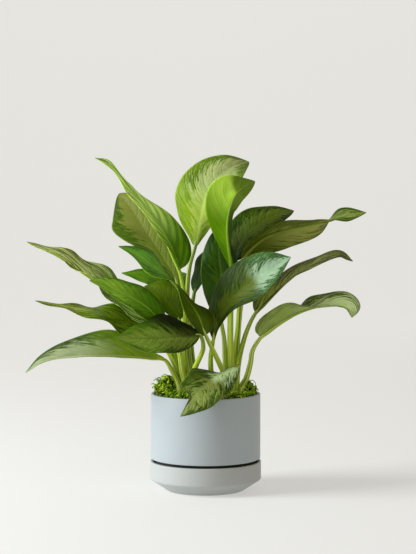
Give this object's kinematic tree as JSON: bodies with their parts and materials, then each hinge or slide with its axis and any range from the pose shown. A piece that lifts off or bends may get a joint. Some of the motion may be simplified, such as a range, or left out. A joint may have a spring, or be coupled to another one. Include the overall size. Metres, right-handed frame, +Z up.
{
  "type": "potted chinese evergreen",
  "caption": "Leafy house plant with broad pointed variegated leaves on slender stalks, in a straight grey ceramic pot that stands in its tapered saucer, with moss over the soil.",
  "frame": {"origin": "middle of the saucer's flat foot, on the surface that it stands on", "axes": "+Z up along the pot's axis; -Y is the front of the plant; +X is to the right seen from the front"},
  "size_m": [0.4567, 0.2821, 0.4589],
  "materials": {
    "pot": "smooth matte pale blue-grey glaze",
    "saucer": "smooth matte pale blue-grey glaze",
    "soil": "loose dark potting soil",
    "moss": "soft curly bright green moss",
    "stalk": "smooth fleshy yellow-green",
    "leaf": "glossy dark green with silvery green centre and feathered margins"
  },
  "bodies": {
    "root": {"saucer": "saucer", "pot": "pot", "soil": "soil", "moss": "moss", "stalks_left_front": "stalk", "stalks_left_back": "stalk", "stalks_middle": "stalk", "stalks_right_front": "stalk", "stalks_right_back": "stalk", "leaf_upper_left": "leaf", "leaf_upper_left_behind": "leaf", "leaf_top": "leaf", "leaf_top_front": "leaf", "leaf_upper_right_behind": "leaf", "leaf_upper_right": "leaf", "leaf_centre_right": "leaf", "leaf_centre_back": "leaf", "leaf_centre_behind": "leaf", "leaf_right": "leaf", "leaf_lower_right": "leaf", "leaf_left": "leaf", "leaf_left_twisted": "leaf", "leaf_left_front": "leaf", "leaf_left_inner": "leaf", "leaf_left_behind": "leaf", "leaf_centre_left": "leaf", "leaf_front_left": "leaf", "leaf_lower_left": "leaf", "leaf_over_rim": "leaf", "leaf_back_left": "leaf", "leaf_back_right": "leaf"}
  },
  "joints": []
}
